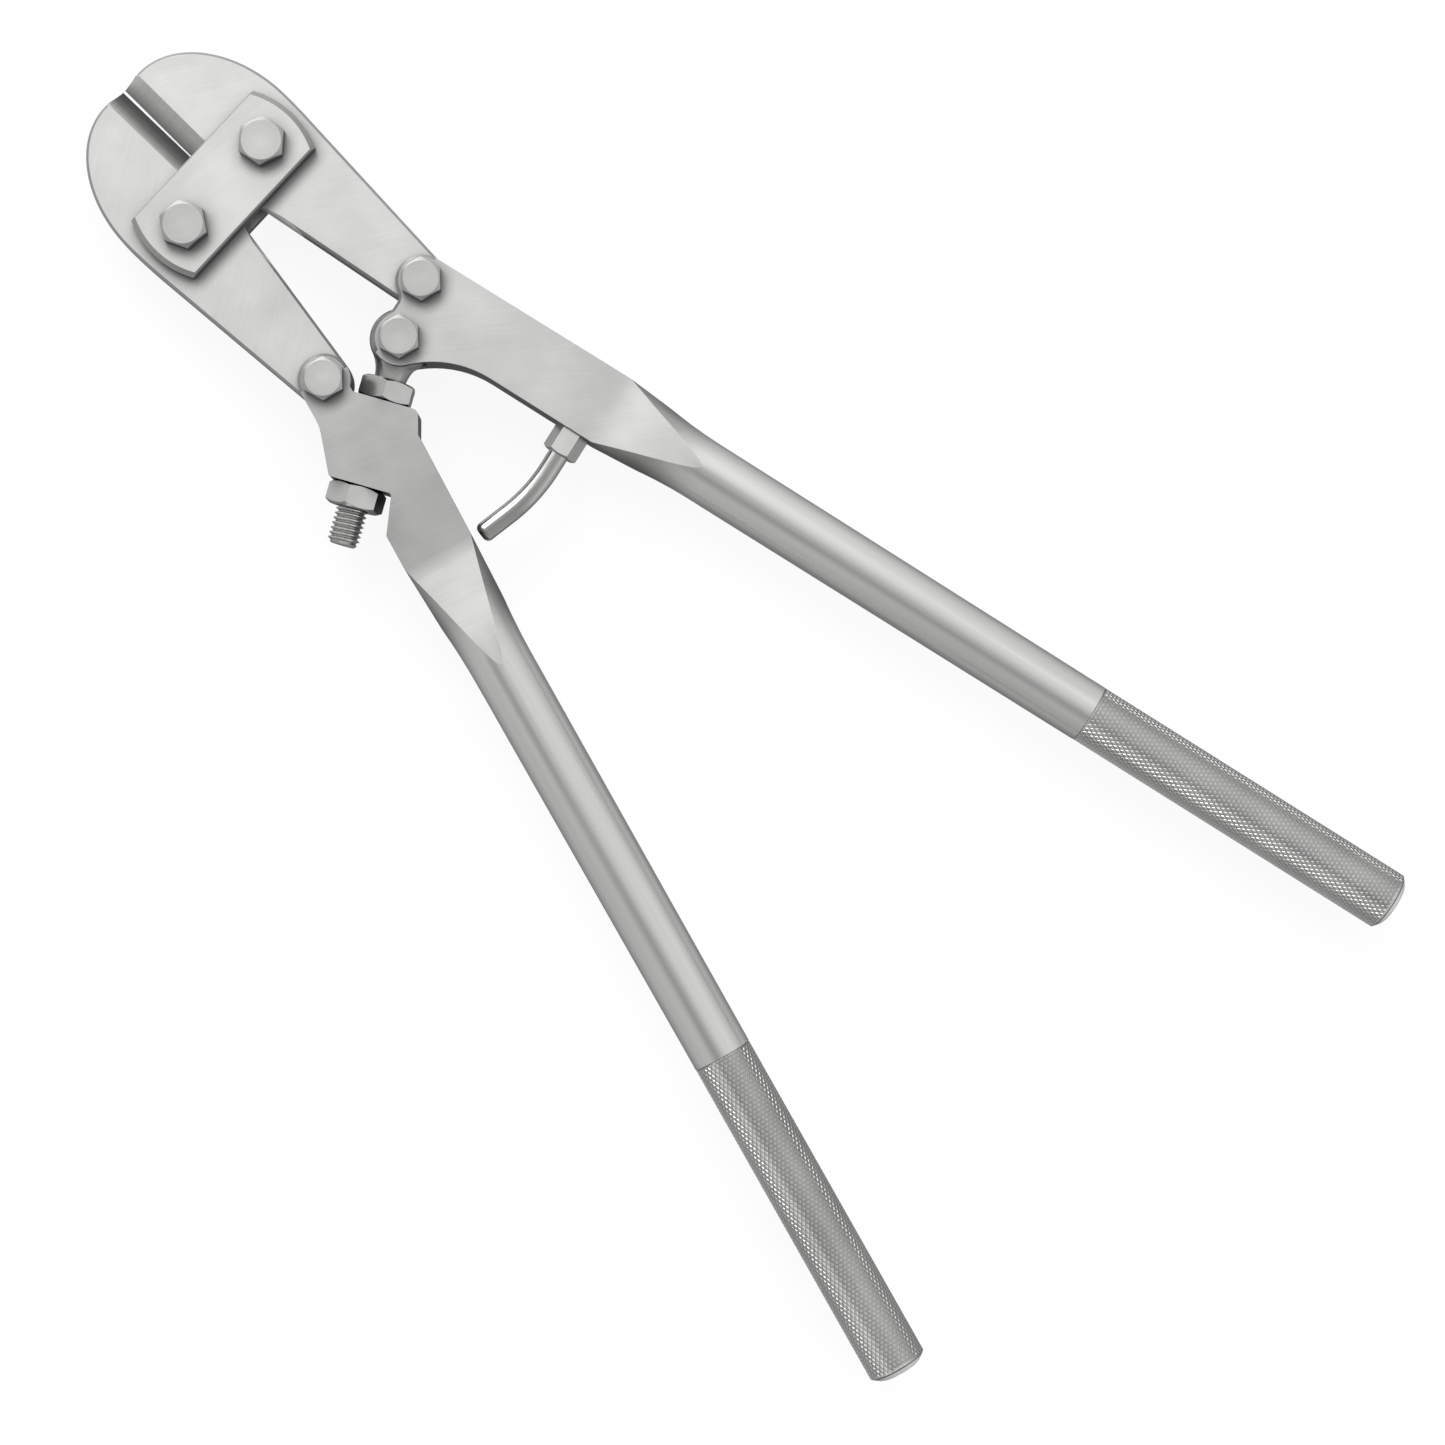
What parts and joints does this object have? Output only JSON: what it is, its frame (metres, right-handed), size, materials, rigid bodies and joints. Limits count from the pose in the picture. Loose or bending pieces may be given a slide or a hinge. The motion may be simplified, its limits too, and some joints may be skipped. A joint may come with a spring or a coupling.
{
  "type": "bolt cutters",
  "caption": "Stainless compound-action bolt and pin cutters: bevelled jaws between two straps, an adjusting screw, a bent stop pin and two long round handles with knurled grips.",
  "frame": {"origin": "under the middle of the whole tool's box, on the plane it lies on, at the rest pose", "axes": "+X from the jaws to the handles along the line where the jaws meet, +Y to the upper jaw, +Z to the front face with the bolt heads"},
  "size_m": [0.3702, 0.1828, 0.0255],
  "materials": {
    "jaw_steel": "satin, ground bevels",
    "strap_steel": "satin",
    "upper_handle_steel": "satin plate, polished rod",
    "lower_handle_steel": "satin plate with fine brush lines, polished rod",
    "grip_steel": "diamond knurled, bright crests",
    "bolt_steel": "satin machined heads",
    "nut_steel": "polished facets",
    "screw_steel": "bright machined thread",
    "pin_steel": "polished"
  },
  "bodies": {
    "lower_handle": {"lower_handle": "lower_handle_steel", "lower_grip": "grip_steel", "lower_handle_bolt": "bolt_steel", "lower_handle_nut": "nut_steel", "adjusting_eye_bolt": "screw_steel"},
    "upper_handle": {"upper_handle": "upper_handle_steel", "upper_grip": "grip_steel", "upper_handle_bolt": "bolt_steel", "upper_handle_nut": "nut_steel", "link_bolt": "bolt_steel", "link_nut": "nut_steel", "stop_pin": "pin_steel"},
    "lower_jaw": {"lower_jaw": "jaw_steel"},
    "head": {"front_strap": "strap_steel", "back_strap": "strap_steel", "upper_jaw_bolt": "bolt_steel", "lower_jaw_bolt": "bolt_steel", "upper_jaw_nut": "nut_steel", "lower_jaw_nut": "nut_steel"},
    "upper_jaw": {"upper_jaw": "jaw_steel"},
    "front_nut": {"front_adjusting_nut": "nut_steel"},
    "rear_nut": {"rear_adjusting_nut": "nut_steel"}
  },
  "joints": [
    {"name": "handle_hinge", "type": "hinge", "parent": "lower_handle", "child": "upper_handle", "pos_m": [-0.09204, 0.01225, 0.01335], "axis": [0, 0, 1], "range_deg": [-1.8, 46]},
    {"name": "lower_jaw_hinge", "type": "hinge", "parent": "lower_handle", "child": "lower_jaw", "pos_m": [-0.09814, -0.0083, 0.01335], "axis": [0, 0, 1], "range_deg": [-0.9, 21.9]},
    {"name": "head_hinge", "type": "hinge", "parent": "lower_jaw", "child": "head", "pos_m": [-0.14914, -0.00514, 0.01335], "axis": [0, 0, 1], "range_deg": [-4, 0.3]},
    {"name": "upper_jaw_hinge", "type": "hinge", "parent": "head", "child": "upper_jaw", "pos_m": [-0.14993, 0.02314, 0.01335], "axis": [0, 0, 1], "range_deg": [-4, 0.3]},
    {"name": "front_nut_turn", "type": "hinge", "parent": "lower_handle", "child": "front_nut", "pos_m": [-0.08582, 0.00066, 0.01335], "axis": [0.4726, -0.8813, 0], "continuous": true},
    {"name": "rear_nut_turn", "type": "hinge", "parent": "lower_handle", "child": "rear_nut", "pos_m": [-0.07278, -0.02366, 0.01335], "axis": [0.4726, -0.8813, 0], "continuous": true}
  ],
  "couplings": [
    {"joint": "lower_jaw_hinge", "follows": "handle_hinge", "ratio": 0.4737},
    {"joint": "head_hinge", "follows": "handle_hinge", "ratio": -0.0846},
    {"joint": "upper_jaw_hinge", "follows": "handle_hinge", "ratio": -0.0846}
  ]
}
